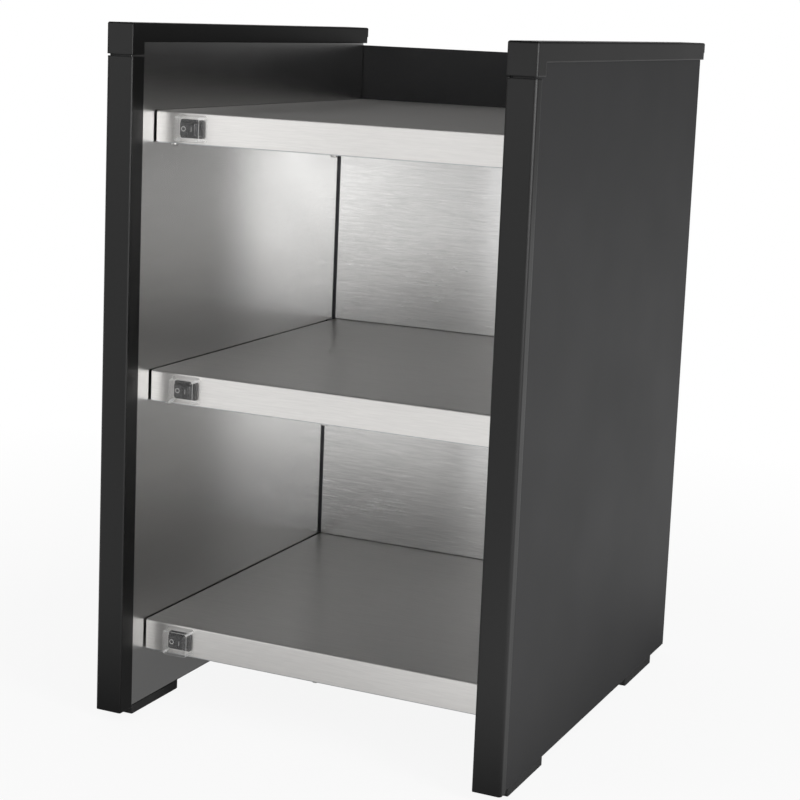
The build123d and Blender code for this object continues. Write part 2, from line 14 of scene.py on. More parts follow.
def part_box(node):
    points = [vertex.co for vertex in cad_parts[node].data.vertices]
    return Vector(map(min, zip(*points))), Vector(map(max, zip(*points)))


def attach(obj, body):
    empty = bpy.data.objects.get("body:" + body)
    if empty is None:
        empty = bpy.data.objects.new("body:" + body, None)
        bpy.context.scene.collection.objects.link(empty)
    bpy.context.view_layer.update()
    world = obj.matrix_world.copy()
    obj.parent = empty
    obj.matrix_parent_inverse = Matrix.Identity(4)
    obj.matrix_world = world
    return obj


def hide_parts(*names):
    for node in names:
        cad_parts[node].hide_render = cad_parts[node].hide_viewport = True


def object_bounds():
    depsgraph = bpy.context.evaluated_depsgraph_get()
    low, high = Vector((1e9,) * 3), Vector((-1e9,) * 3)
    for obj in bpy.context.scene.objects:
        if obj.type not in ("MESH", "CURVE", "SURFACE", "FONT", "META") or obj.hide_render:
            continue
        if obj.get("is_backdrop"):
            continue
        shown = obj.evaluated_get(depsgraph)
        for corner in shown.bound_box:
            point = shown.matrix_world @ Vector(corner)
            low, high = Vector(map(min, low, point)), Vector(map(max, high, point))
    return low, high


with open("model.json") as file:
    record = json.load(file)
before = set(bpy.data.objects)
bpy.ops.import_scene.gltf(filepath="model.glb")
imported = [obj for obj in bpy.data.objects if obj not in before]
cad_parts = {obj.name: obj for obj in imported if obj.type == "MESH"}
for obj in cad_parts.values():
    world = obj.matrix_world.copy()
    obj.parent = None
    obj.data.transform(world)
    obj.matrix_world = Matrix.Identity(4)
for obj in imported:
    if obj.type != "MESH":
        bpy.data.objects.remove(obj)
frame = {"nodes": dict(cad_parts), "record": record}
cad_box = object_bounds()
nodes = frame["nodes"]
MM = 0.001
print("pieces", len(nodes), "box", [round(v, 4) for corner in cad_box for v in corner])

# %% [markdown]
# Where things are is read from the solids, so nothing is typed twice.
# A node's box gives its lowest and highest corner, and the three shelves repeat from top to bottom.

# %% Places read from the solids
shelf_names = ("top", "middle", "bottom")
shelf_levels = [round(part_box("shelf_tray_" + name)[1][2], 4) for name in shelf_names]
centre = (Vector(cad_box[0]) + Vector(cad_box[1])) / 2
print("shelves at", shelf_levels, "centre at", round(centre.z, 4))

# %% [markdown]
# Every finish here is a Principled shader fed by noise in Object coordinates.
# The solids keep their place in their vertices, so Object coordinates are metres on the real thing,
# and a grain of half a millimetre is half a millimetre on every piece.
# Small helpers keep the node code short: a shader, a noise, stretched or even, a change of range,
# a mix of two colours, a bump that can round edges, a sum, and a paler or darker colour.

# %% Helpers for finishes
bevel_samples = 4


def shader_named(name, colour, metallic, roughness):
    material = bpy.data.materials.new(name)
    material.use_nodes = True
    shader = material.node_tree.nodes["Principled BSDF"]
    shader.inputs["Base Color"].default_value = (*colour, 1)
    shader.inputs["Metallic"].default_value = metallic
    shader.inputs["Roughness"].default_value = roughness
    return material, material.node_tree, shader


def stretched_noise(tree, size, detail=2.0):
    """Noise whose blotches are about size metres along x, y and z."""
    place = tree.nodes.new("ShaderNodeTexCoord")
    mapping = tree.nodes.new("ShaderNodeMapping")
    mapping.inputs["Scale"].default_value = [1 / s for s in size]
    noise = tree.nodes.new("ShaderNodeTexNoise")
    noise.inputs["Scale"].default_value = 1
    noise.inputs["Detail"].default_value = detail
    tree.links.new(place.outputs["Object"], mapping.inputs["Vector"])
    tree.links.new(mapping.outputs["Vector"], noise.inputs["Vector"])
    return noise.outputs[0]


def even_noise(tree, size, detail=2.0):
    return stretched_noise(tree, (size, size, size), detail)


def ranged(tree, value, low, high, start=0.3, end=0.7):
    """Carry start to end over to low to high; most of a noise lies between 0.3 and 0.7."""
    span = tree.nodes.new("ShaderNodeMapRange")
    span.inputs["From Min"].default_value = start
    span.inputs["From Max"].default_value = end
    span.inputs["To Min"].default_value = low
    span.inputs["To Max"].default_value = high
    tree.links.new(value, span.inputs["Value"])
    return span.outputs["Result"]


def mixed_colour(tree, value, first, second, shader):
    mix = tree.nodes.new("ShaderNodeMix")
    mix.data_type = "RGBA"
    mix.inputs["A"].default_value = (*first, 1)
    mix.inputs["B"].default_value = (*second, 1)
    tree.links.new(value, mix.inputs["Factor"])
    tree.links.new(mix.outputs["Result"], shader.inputs["Base Color"])


def bumped(tree, value, depth, shader, strength=1.0, edge_round=0):
    bump = tree.nodes.new("ShaderNodeBump")
    if edge_round:
        bevel = tree.nodes.new("ShaderNodeBevel")
        bevel.samples = bevel_samples
        bevel.inputs["Radius"].default_value = edge_round
        tree.links.new(bevel.outputs["Normal"], bump.inputs["Normal"])
    bump.inputs["Distance"].default_value = depth
    bump.inputs["Strength"].default_value = strength
    tree.links.new(value, bump.inputs["Height"])
    tree.links.new(bump.outputs["Normal"], shader.inputs["Normal"])


def math_node(tree, operation, first, second):
    node = tree.nodes.new("ShaderNodeMath")
    node.operation = operation
    for socket, value in zip(node.inputs, (first, second)):
        if isinstance(value, (int, float)):
            socket.default_value = value
        else:
            tree.links.new(value, socket)
    return node.outputs["Value"]


def paler(colour, share):
    return tuple(c * share for c in colour)


# %% [markdown]
# The side panels are sheet steel with a dark grey powder coat, and their posts and caps are blacker.
# Powder melts into a skin with a faint orange peel, about a millimetre from crest to crest,
# and hands and cloths leave it a little glossier in places.
# Paint it with a fine bump for the peel and a broad, slow noise on the roughness.
# A Bevel node rounds the light over folded edges, which would be razor sharp otherwise.

# %% Powder coat
wiped_patch = 110 * MM
paint_fleck = 3 * MM
peel_size = 1.2 * MM
peel_depth = 0.02 * MM


def powder_coat(name, colour, roughness, gloss, edge_round):
    material, tree, shader = shader_named(name, colour, 0, roughness)
    rough = ranged(tree, even_noise(tree, wiped_patch), roughness - 0.02, roughness + 0.03)
    tree.links.new(rough, shader.inputs["Roughness"])
    tone = ranged(tree, even_noise(tree, paint_fleck), 0, 1)
    mixed_colour(tree, tone, paler(colour, 0.92), paler(colour, 1.08), shader)
    bumped(tree, even_noise(tree, peel_size, 1.0), peel_depth, shader, 0.4, edge_round)
    shader.inputs["Specular IOR Level"].default_value = gloss
    return material


post_black = (0.004, 0.004, 0.004)
panel_grey = (0.016, 0.016, 0.017)
post_paint = powder_coat("post_black_powder_coat", post_black, 0.3, 0.38, edge_round=1.6 * MM)
panel_paint = powder_coat("panel_grey_powder_coat", panel_grey, 0.5, 0.32, edge_round=0.6 * MM)
print("made", post_paint.name, panel_paint.name)

# %% [markdown]
# The shelves, linings and back walls are brushed stainless steel.
# Brushing leaves scratches that run one way, long and very narrow,
# so the noise is stretched twenty times further along them than across, or more.
# The same scratches blur reflections across the grain and leave them sharper along it.
# The anisotropic highlight stands for that: its tangent lies in the sheet, square to the grain,
# which is the cross product of the normal and the grain's direction.

# %% Brushed steel
hand_smudge = (70 * MM, 70 * MM, 50 * MM)
scratch_depth = 0.005 * MM
sheet_edge_round = 0.4 * MM
coarse_share = 0.4


def grain_along(direction, length, breadth):
    return [length if axis else breadth for axis in direction]


def brushed_steel(name, colour, direction, roughness, one_way, streak, breadth, contrast):
    material, tree, shader = shader_named(name, colour, 1, roughness)
    fine = stretched_noise(tree, grain_along(direction, streak, breadth), 3.0)
    coarse = stretched_noise(tree, grain_along(direction, 4 * streak, 3 * breadth), 2.0)
    smudge = stretched_noise(tree, hand_smudge, 3.0)
    scratches = tree.nodes.new("ShaderNodeMix")
    scratches.inputs["Factor"].default_value = coarse_share
    tree.links.new(fine, scratches.inputs["A"])
    tree.links.new(coarse, scratches.inputs["B"])
    grain = scratches.outputs["Result"]
    tone = ranged(tree, grain, 0, 1)
    mixed_colour(tree, tone, paler(colour, 1 - contrast), paler(colour, 1 + contrast), shader)
    worn = math_node(tree, "ADD", ranged(tree, grain, -contrast / 4, contrast / 4),
                     ranged(tree, smudge, roughness - 0.01, roughness + 0.02))
    tree.links.new(worn, shader.inputs["Roughness"])
    bumped(tree, grain, scratch_depth, shader, 0.2, sheet_edge_round)
    shader.inputs["Anisotropic"].default_value = one_way
    way = tree.nodes.new("ShaderNodeVectorTransform")
    way.vector_type = "VECTOR"
    way.convert_from = "OBJECT"
    way.convert_to = "WORLD"
    way.inputs["Vector"].default_value = direction
    surface = tree.nodes.new("ShaderNodeNewGeometry")
    across = tree.nodes.new("ShaderNodeVectorMath")
    across.operation = "CROSS_PRODUCT"
    tree.links.new(surface.outputs["Normal"], across.inputs[0])
    tree.links.new(way.outputs["Vector"], across.inputs[1])
    tree.links.new(across.outputs["Vector"], shader.inputs["Tangent"])
    return material


wall_colour = (0.85, 0.846, 0.84)
shelf_colour = (0.88, 0.865, 0.845)
liner_colour = (0.63, 0.628, 0.623)
side_to_side = (1, 0, 0)
front_to_back = (0, 1, 0)
shelf_steel = brushed_steel("shelf_steel_brushed_across", shelf_colour, side_to_side, roughness=0.4,
                            one_way=0.7, streak=12 * MM, breadth=0.5 * MM, contrast=0.06)
wall_steel = brushed_steel("wall_steel_brushed_across", wall_colour, side_to_side, roughness=0.24,
                           one_way=0.8, streak=14 * MM, breadth=0.7 * MM, contrast=0.14)
liner_steel = brushed_steel("liner_steel_brushed_along", liner_colour, front_to_back, roughness=0.19,
                            one_way=0.8, streak=60 * MM, breadth=0.4 * MM, contrast=0.03)
print("made", shelf_steel.name, wall_steel.name, liner_steel.name)

# %% [markdown]
# Sheets that nobody sees are zinc coated, with the frosted flakes that zinc forms as it cools.
# A Voronoi texture gives each flake its own tone, and the noise is kept for screws and small metal.
# The brackets beside the back walls show in dark seams that lie in shade, so their zinc is made dark, a
# painted shade.

# %% Zinc, screws and small metal
flakes_per_metre = 130
zinc_ripple = 2 * MM
handling_mark = 0.8 * MM
mark_depth = 0.02 * MM


def zinc_sheet(name, colour):
    material, tree, shader = shader_named(name, colour, 1, 0.42)
    place = tree.nodes.new("ShaderNodeTexCoord")
    flakes = tree.nodes.new("ShaderNodeTexVoronoi")
    flakes.inputs["Scale"].default_value = flakes_per_metre
    tree.links.new(place.outputs["Object"], flakes.inputs["Vector"])
    grey = tree.nodes.new("ShaderNodeRGBToBW")
    tree.links.new(flakes.outputs["Color"], grey.inputs["Color"])
    mixed_colour(tree, grey.outputs["Val"], paler(colour, 0.82), paler(colour, 1.08), shader)
    tree.links.new(ranged(tree, grey.outputs["Val"], 0.34, 0.5), shader.inputs["Roughness"])
    bumped(tree, even_noise(tree, zinc_ripple), mark_depth, shader, 0.4)
    return material


def small_metal(name, colour, roughness):
    material, tree, shader = shader_named(name, colour, 1, roughness)
    marks = even_noise(tree, handling_mark, 4.0)
    mixed_colour(tree, ranged(tree, marks, 0, 1), paler(colour, 0.8), paler(colour, 1.1), shader)
    tree.links.new(ranged(tree, marks, roughness - 0.08, roughness + 0.1), shader.inputs["Roughness"])
    bumped(tree, marks, mark_depth, shader, 0.3)
    return material


zinc_steel = zinc_sheet("zinc_coated_sheet", (0.55, 0.56, 0.57))
# dark zinc for the brackets: painted shade in the seams beside the back walls
seam_shade_zinc = zinc_sheet("zinc_sheet_painted_seam_shade", (0.07, 0.07, 0.075))
screw_steel = small_metal("zinc_screw_steel", (0.58, 0.57, 0.55), 0.34)
cup_aluminium = small_metal("thermostat_cup_aluminium", (0.72, 0.72, 0.72), 0.36)
tab_brass = small_metal("switch_tab_brass", (0.72, 0.56, 0.26), 0.3)
print("made", zinc_steel.name, screw_steel.name, cup_aluminium.name, tab_brass.name)

# %% [markdown]
# Plastics and rubbers differ in gloss and in the grain that the mould left.
# One recipe serves them all: a colour that wanders a little, a roughness,
# and a grain whose size and depth are given in millimetres.

# %% Plastics and rubbers
pigment_cloud = 12 * MM


def moulded(name, colour, roughness, grain_size, grain_depth):
    material, tree, shader = shader_named(name, colour, 0, roughness)
    grain = even_noise(tree, grain_size * MM)
    cloudy = even_noise(tree, pigment_cloud)
    mixed_colour(tree, ranged(tree, cloudy, 0, 1), paler(colour, 0.88), paler(colour, 1.14), shader)
    tree.links.new(ranged(tree, grain, roughness - 0.05, roughness + 0.08), shader.inputs["Roughness"])
    bumped(tree, grain, grain_depth * MM, shader, 0.5)
    return material


switch_nylon = moulded("switch_nylon", (0.02, 0.02, 0.021), 0.46, 0.4, 0.02)
rocker_gloss = moulded("rocker_black", (0.026, 0.026, 0.028), 0.28, 1.5, 0.01)
gland_nylon = moulded("cord_entry_nylon", (0.022, 0.022, 0.022), 0.5, 0.5, 0.03)
block_nylon = moulded("terminal_block_nylon", (0.72, 0.67, 0.52), 0.45, 0.6, 0.02)
foot_rubber = moulded("foot_rubber", (0.019, 0.019, 0.019), 0.72, 0.7, 0.06)
mat_rubber = moulded("heating_mat_silicone", (0.42, 0.09, 0.04), 0.55, 0.9, 0.04)
mark_white = moulded("switch_mark_white", (0.8, 0.8, 0.78), 0.5, 0.3, 0.01)
print("made", switch_nylon.name, rocker_gloss.name, foot_rubber.name, mat_rubber.name)

# %% [markdown]
# The splash hoods are moulded in clear silicone, and the rocker shows through their window.
# Light crosses a thin wall with little loss.
# So alpha is low on the flat walls and higher where the normal lies between two axes, which makes the
# rounded edges whiter: partly the silicone seen along more of its depth, partly a painted highlight.
# Alpha, and no refraction, also lets lamps light the rocker behind it.

# %% Clear silicone
wall_alpha = 0.035
edge_alpha = 0.5
rounded_from = 0.8
flat_from = 0.97
milky_cloud = 4 * MM
mould_wave = 5 * MM
wave_depth = 0.02 * MM


def clear_silicone(name):
    material, tree, shader = shader_named(name, (0.95, 0.95, 0.94), 0, 0.1)
    cloud = even_noise(tree, milky_cloud)
    tree.links.new(ranged(tree, cloud, 0.06, 0.14), shader.inputs["Roughness"])
    mixed_colour(tree, ranged(tree, cloud, 0, 1), (0.93, 0.93, 0.92), (0.98, 0.98, 0.97), shader)
    bumped(tree, even_noise(tree, mould_wave), wave_depth, shader, 0.3)
    place = tree.nodes.new("ShaderNodeTexCoord")
    split = tree.nodes.new("ShaderNodeSeparateXYZ")
    tree.links.new(place.outputs["Normal"], split.inputs["Vector"])
    along = [math_node(tree, "ABSOLUTE", split.outputs[axis], 0) for axis in "XYZ"]
    flat = math_node(tree, "MAXIMUM", along[0], math_node(tree, "MAXIMUM", along[1], along[2]))
    # Higher alpha on rounded edges shows more white silicone there: partly real, partly a painted
    # highlight.
    clear = ranged(tree, flat, edge_alpha, wall_alpha, rounded_from, flat_from)
    tree.links.new(clear, shader.inputs["Alpha"])
    shader.inputs["IOR"].default_value = 1.41
    return material


hood_silicone = clear_silicone("hood_clear_silicone")
print("made", hood_silicone.name)

# %% [markdown]
# Mineral felt and glass fibre sleeving are textiles: fibres, not a smooth skin.
# Felt is short fibres, so its noise is a few times longer than it is wide,
# and the sleeve is a braid, which two crossed waves give.

# %% Felt and braided sleeve
fibre = (4 * MM, 0.6 * MM, 0.6 * MM)
fibre_depth = 0.4 * MM
braid_tilt = 0.7
braid_scale = 260
braid_depth = 0.2 * MM


def mineral_felt(name, colour):
    material, tree, shader = shader_named(name, colour, 0, 0.95)
    fibres = stretched_noise(tree, fibre, 4.0)
    mixed_colour(tree, ranged(tree, fibres, 0, 1), paler(colour, 0.75), paler(colour, 1.1), shader)
    bumped(tree, fibres, fibre_depth, shader, 0.7)
    return material


def braided_sleeve(name, colour):
    material, tree, shader = shader_named(name, colour, 0, 0.7)
    place = tree.nodes.new("ShaderNodeTexCoord")
    braid = tree.nodes.new("ShaderNodeMath")
    braid.operation = "MULTIPLY"
    for socket, tilt in ((0, braid_tilt), (1, -braid_tilt)):
        turn = tree.nodes.new("ShaderNodeMapping")
        turn.inputs["Rotation"].default_value = (tilt, tilt, tilt)
        wave = tree.nodes.new("ShaderNodeTexWave")
        wave.inputs["Scale"].default_value = braid_scale
        tree.links.new(place.outputs["Object"], turn.inputs["Vector"])
        tree.links.new(turn.outputs["Vector"], wave.inputs["Vector"])
        tree.links.new(wave.outputs["Fac"], braid.inputs[socket])
    weave = braid.outputs["Value"]
    mixed_colour(tree, ranged(tree, weave, 0, 1, 0, 1), paler(colour, 0.7), colour, shader)
    bumped(tree, weave, braid_depth, shader, 0.6)
    return material


felt = mineral_felt("insulation_felt", (0.72, 0.68, 0.58))
sleeve = braided_sleeve("glass_fibre_sleeve", (0.62, 0.58, 0.5))
print("made", felt.name, sleeve.name)

# %% [markdown]
# The record names a material slot for each node, so a finish is chosen per slot.
# Only the pieces that look different from the rest of their slot are named one by one:
# the blacker posts and caps, the steel with a grain of its own and the brackets made dark as painted
# shade.

# %% Dress the solids
finish_of_slot = {
    "black_paint": panel_paint,
    "brushed_steel": shelf_steel,
    "zinc_steel": zinc_steel,
    "screw_steel": screw_steel,
    "heater_rubber": mat_rubber,
    "insulation": felt,
    "thermostat_metal": cup_aluminium,
    "switch_plastic": switch_nylon,
    "rocker_plastic": rocker_gloss,
    "clear_silicone": hood_silicone,
    "tab_brass": tab_brass,
    "black_rubber": foot_rubber,
    "black_plastic": gland_nylon,
    "lead_sleeve": sleeve,
    "cream_plastic": block_nylon,
}
finish_of_node = {
    "front_post_left": post_paint,
    "front_post_right": post_paint,
    "top_cap_left": post_paint,
    "top_cap_right": post_paint,
    "liner_left": liner_steel,
    "liner_right": liner_steel,
    "back_wall_upper": wall_steel,
    "back_wall_lower": wall_steel,
    "back_bracket_left": seam_shade_zinc,
    "back_bracket_right": seam_shade_zinc,
}
for subpart in frame["record"]["subparts"]:
    name = subpart["node"]
    finish = finish_of_node.get(name, finish_of_slot[subpart["material_slot"]])
    for material_slot in nodes[name].material_slots:
        material_slot.material = finish

# %% [markdown]
# A finished piece of our own has its place in its mesh, rides on a body and names its slot.

# %% Finish a piece
def keep_piece(name, mesh, body, material):
    piece = bpy.data.objects.new(name, mesh)
    bpy.context.collection.objects.link(piece)
    mesh.materials.clear()
    mesh.materials.append(material)
    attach(piece, body)
    return piece


# %% [markdown]
# Thirty-six pan-head screws hold the rear cover, the shelf floors and the feet.
# A real one is pressed from wire: a domed head, a plain shank below it and a cross in the crown.
# One could model a screw and copy it by hand, but then every change means copying again.
# Geometry Nodes describe the screw once and set a copy on every point of a list,
# so its diameter, its height and the way it faces are inputs that anyone can turn later.
# The tree is built node by node, in the order in which the maker works: head, cross, shank, places.

# %% Small helpers for a Geometry Nodes tree
def tree_input(tree, name, kind, value=None):
    socket_type = "NodeSocket" + kind
    socket = tree.interface.new_socket(name, in_out="INPUT", socket_type=socket_type)
    if value is not None:
        socket.default_value = value


def step(tree, kind, **wires):
    """Add a node; each wire is an input's name, with _ for a space, and what goes into it."""
    node = tree.nodes.new(kind)
    for name, value in wires.items():
        wanted = name.replace("_", " ")
        socket = next(s for s in node.inputs if s.name == wanted and s.enabled)
        if isinstance(value, bpy.types.NodeSocket):
            tree.links.new(value, socket)
        else:
            socket.default_value = value
    return node


def along_z(tree, value):
    return step(tree, "ShaderNodeCombineXYZ", Z=value).outputs["Vector"]


def moved(tree, geometry, shift):
    node = step(tree, "GeometryNodeTransform", Geometry=geometry, Translation=shift)
    return node.outputs["Geometry"]


def cylinder(tree, sides, rings, radius, depth):
    node = step(tree, "GeometryNodeMeshCylinder", Vertices=sides, Radius=radius, Depth=depth)
    node.inputs["Fill Segments"].default_value = rings
    return node.outputs["Mesh"]


# %% [markdown]
# The head starts as a short cylinder whose end has rings of points.
# Set Position pulls each ring down by the fourth power of its distance from the middle,
# which leaves the crown flat and rounds the rim, as a pan head is.
# Two thin blocks, one turned square to the other, then cut the cross.

# %% The screw's tree
crown_fall = 0.45
cross_length = 0.64
cross_width = 0.12
cross_depth = 0.45
head_sides = 32
head_rings = 6
shank_sides = 16
shank_rings = 1


def pan_head(tree, given):
    radius = math_node(tree, "MULTIPLY", given["Head Diameter"], 0.5)
    height = given["Head Height"]
    blank = moved(tree, cylinder(tree, head_sides, head_rings, radius, height),
                  along_z(tree, math_node(tree, "MULTIPLY", height, 0.5)))
    place = step(tree, "GeometryNodeInputPosition").outputs["Position"]
    split = step(tree, "ShaderNodeSeparateXYZ", Vector=place)
    flat = step(tree, "ShaderNodeCombineXYZ", X=split.outputs["X"], Y=split.outputs["Y"])
    length = tree.nodes.new("ShaderNodeVectorMath")
    length.operation = "LENGTH"
    tree.links.new(flat.outputs["Vector"], length.inputs[0])
    share = math_node(tree, "DIVIDE", length.outputs["Value"], radius)
    fall = math_node(tree, "MULTIPLY", math_node(tree, "POWER", share, 4.0), crown_fall)
    level = math_node(tree, "MULTIPLY", split.outputs["Z"], math_node(tree, "SUBTRACT", 1.0, fall))
    domed = step(tree, "ShaderNodeCombineXYZ", X=split.outputs["X"], Y=split.outputs["Y"], Z=level)
    return step(tree, "GeometryNodeSetPosition", Geometry=blank, Position=domed.outputs["Vector"])


def cross_cut(tree, head, given):
    long_side = math_node(tree, "MULTIPLY", given["Head Diameter"], cross_length)
    thin_side = math_node(tree, "MULTIPLY", given["Head Diameter"], cross_width)
    middle = along_z(tree, given["Head Height"])
    tall = math_node(tree, "MULTIPLY", given["Head Height"], 2 * cross_depth)
    for x, y in ((long_side, thin_side), (thin_side, long_side)):
        size = step(tree, "ShaderNodeCombineXYZ", X=x, Y=y, Z=tall).outputs["Vector"]
        blade = moved(tree, step(tree, "GeometryNodeMeshCube", Size=size).outputs["Mesh"], middle)
        cut = tree.nodes.new("GeometryNodeMeshBoolean")
        cut.operation = "DIFFERENCE"
        tree.links.new(head, cut.inputs["Mesh 1"])
        tree.links.new(blade, cut.inputs["Mesh 2"])
        head = cut.outputs["Mesh"]
    return head


def screw_tree(material):
    tree = bpy.data.node_groups.new("pan_head_screws", "GeometryNodeTree")
    tree_input(tree, "Places", "Geometry")
    tree_input(tree, "Head Diameter", "Float", 0.008)
    tree_input(tree, "Head Height", "Float", 0.0024)
    tree_input(tree, "Shank Diameter", "Float", 0.004)
    tree_input(tree, "Shank Length", "Float", 0.006)
    tree_input(tree, "Facing", "Vector")
    tree_input(tree, "Seed", "Int", 1)
    tree.interface.new_socket("Screws", in_out="OUTPUT", socket_type="NodeSocketGeometry")
    given = tree.nodes.new("NodeGroupInput").outputs
    head = cross_cut(tree, pan_head(tree, given).outputs["Geometry"], given)
    radius = math_node(tree, "MULTIPLY", given["Shank Diameter"], 0.5)
    shank = moved(tree, cylinder(tree, shank_sides, shank_rings, radius, given["Shank Length"]),
                  along_z(tree, math_node(tree, "MULTIPLY", given["Shank Length"], -0.5)))
    screw = tree.nodes.new("GeometryNodeJoinGeometry")
    tree.links.new(head, screw.inputs["Geometry"])
    tree.links.new(shank, screw.inputs["Geometry"])
    set_out = step(tree, "GeometryNodeInstanceOnPoints", Points=given["Places"],
                   Instance=screw.outputs["Geometry"], Rotation=given["Facing"])
    turn = step(tree, "FunctionNodeRandomValue", Min=0.0, Max=2 * math.pi, Seed=given["Seed"])
    driven = step(tree, "GeometryNodeRotateInstances", Instances=set_out.outputs["Instances"],
                  Rotation=along_z(tree, turn.outputs[1]))
    real = step(tree, "GeometryNodeRealizeInstances", Geometry=driven.outputs["Instances"])
    dressed = step(tree, "GeometryNodeSetMaterial", Geometry=real.outputs["Geometry"],
                   Material=material)
    ending = tree.nodes.new("NodeGroupOutput")
    tree.links.new(dressed.outputs["Geometry"], ending.inputs["Screws"])
    return tree


pan_head_screws = screw_tree(screw_steel)
print("tree of", len(pan_head_screws.nodes), "nodes")

# %% [markdown]
# The solids already say where each screw sits: a node of ten screws is ten islands of triangles.
# A copy of its mesh is merged and walked island by island, and each island gives one place.
# The points go into a bare mesh, the modifier grows screws on it, and the result becomes plain mesh.

# %% Grow screws on the solids' places
same_point = MM / 100
smooth_below = math.radians(32)


def islands(node):
    """Lowest and highest corner of each loose part of a solid's mesh."""
    copy = bmesh.new()
    copy.from_mesh(nodes[node].data)
    bmesh.ops.remove_doubles(copy, verts=copy.verts, dist=same_point)
    todo = set(copy.verts)
    found = []
    while todo:
        island = [todo.pop()]
        for vert in island:
            for edge in vert.link_edges:
                other = edge.other_vert(vert)
                if other in todo:
                    todo.remove(other)
                    island.append(other)
        rows = list(zip(*(v.co for v in island)))
        found.append((Vector(map(min, rows)), Vector(map(max, rows))))
    copy.free()
    return sorted(found, key=lambda box: tuple(round(c, 4) for c in box[0]))


def grown(name, points, tree, **values):
    """A plain mesh that a Geometry Nodes tree makes from points."""
    places = bpy.data.meshes.new(name)
    places.from_pydata([tuple(p) for p in points], [], [])
    holder = bpy.data.objects.new(name, places)
    bpy.context.collection.objects.link(holder)
    modifier = holder.modifiers.new(name, "NODES")
    modifier.node_group = tree
    wanted = {key.replace("_", " "): value for key, value in values.items()}
    for item in tree.interface.items_tree:
        if item.in_out == "INPUT" and item.name in wanted:
            modifier[item.identifier] = wanted[item.name]
    seen = holder.evaluated_get(bpy.context.evaluated_depsgraph_get())
    mesh = bpy.data.meshes.new_from_object(seen)
    bpy.data.objects.remove(holder)
    mesh.shade_smooth()
    mesh.set_sharp_from_angle(angle=smooth_below)
    return mesh


facing_down = (math.pi, 0, 0)
facing_back = (-math.pi / 2, 0, 0)
screw_groups = (
    ("rear_cover_screws", facing_back, 8.0, 2.4, 4.0, 11),
    ("shelf_floor_screws", facing_down, 5.6, 1.8, 3.0, 12),
    ("foot_screws", facing_down, 7.5, 2.4, 4.0, 13),
)
for node, facing, head, crown, shank, seed in screw_groups:
    boxes = islands(node)
    middle = [(low + high) / 2 for low, high in boxes]
    low, high = boxes[0]
    if facing is facing_back:
        length = high.y - low.y - crown * MM
        seats = [(m.x, high.y - crown * MM, m.z) for m in middle]
    else:
        length = high.z - low.z - crown * MM
        seats = [(m.x, m.y, box[0].z + crown * MM) for m, box in zip(middle, boxes)]
    mesh = grown(node + "_grown", seats, pan_head_screws,
                 Head_Diameter=head * MM, Head_Height=crown * MM,
                 Shank_Diameter=shank * MM, Shank_Length=length, Facing=facing, Seed=seed)
    piece = keep_piece("pan_" + node, mesh, "cabinet", screw_steel)
    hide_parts(node)
    print(node, len(seats), "screws", len(mesh.polygons), "faces")

# %% [markdown]
# Each rocker carries two marks, a ring for off on its left half and a bar for on.
# They are printed on, so they are flat shapes a twentieth of a millimetre thick,
# laid on the rocker's two sloping faces and turned with it about its pin.

# %% Marks on the rockers
half_rocker = 7.5 * MM
lip_out = 9.0 * MM
valley_out = 8.3 * MM
rest_turn = math.radians(-8.0)
mark_from_pin = 3.9 * MM
ring_radius = 2.0 * MM
stroke = 0.45 * MM
bar_height = 3.8 * MM
print_depth = 0.05 * MM
ring_steps = 40


def ring_mark(mesh, radius, breadth, depth):
    corners = []
    for i in range(ring_steps):
        a = 2 * math.pi * i / ring_steps
        way = Vector((math.cos(a), 0, math.sin(a)))
        rows = ((radius, 0), (radius, -depth), (radius - breadth, -depth), (radius - breadth, 0))
        corners.append([mesh.verts.new(way * r + Vector((0, d, 0))) for r, d in rows])
    for i in range(ring_steps):
        here = corners[i]
        there = corners[(i + 1) % ring_steps]
        for k in range(4):
            mesh.faces.new((here[k], here[(k + 1) % 4], there[(k + 1) % 4], there[k]))


def bar_mark(mesh, breadth, length, depth):
    bmesh.ops.create_cube(mesh, size=1)
    bmesh.ops.scale(mesh, vec=(breadth, depth, length), verts=mesh.verts)
    bmesh.ops.translate(mesh, vec=(0, -depth / 2, 0), verts=mesh.verts)


def face_frame(side, pin):
    """Place and turn of the rocker's left (-1) or right (1) half at rest."""
    slope = math.atan2(lip_out - valley_out, half_rocker)
    out = valley_out + (lip_out - valley_out) * mark_from_pin / half_rocker
    on_face = Matrix.Translation((side * mark_from_pin, -out, 0))
    on_face = on_face @ Matrix.Rotation(-side * slope, 4, "Z")
    return Matrix.Translation(pin) @ Matrix.Rotation(rest_turn, 4, "Z") @ on_face


pins = {j["child"]: Vector(j["pos_m"]) for j in frame["record"]["behaviour"]["joints"]}
for name in shelf_names:
    body = "rocker_" + name
    for side, kind in ((-1, "off"), (1, "on")):
        sketch = bmesh.new()
        if kind == "off":
            ring_mark(sketch, ring_radius, stroke, print_depth)
        else:
            bar_mark(sketch, stroke, bar_height, print_depth)
        bmesh.ops.recalc_face_normals(sketch, faces=sketch.faces)
        mesh = bpy.data.meshes.new("mark_" + kind + "_" + name)
        sketch.to_mesh(mesh)
        sketch.free()
        mesh.transform(face_frame(side, pins[body]))
        keep_piece("rocker_mark_" + kind + "_" + name, mesh, body, mark_white)
print("marked", len(pins), "rockers")

# %% [markdown]
# The floor is a pale sheet that turns to plain white further out, so that no horizon shows.
# Near the warmer a share of it stays a real surface, which takes the shadow.
# Steel and paint mirror the floor, and what they mirror decides how they look.
# So the mirrored floor has painted shade towards the warmer's foot, where a real one lies in shade,
# and painted light in front on the right, so that it is brighter there than on the left and behind.

# %% Floor
floor_span = 9.0
floor_grey = 0.88
shadow_reach = 0.4
white_reach = 1.1
floor_glow = 0.9
painted_shade_at_foot = 0.2
painted_shade_left = 0.82
painted_light_right = 1.3
painted_shade_behind = 0.55
foot_fade = (-0.02, 0.28)
side_fade = (-0.1, 0.1)
rear_fade = (-0.1, 0.4)


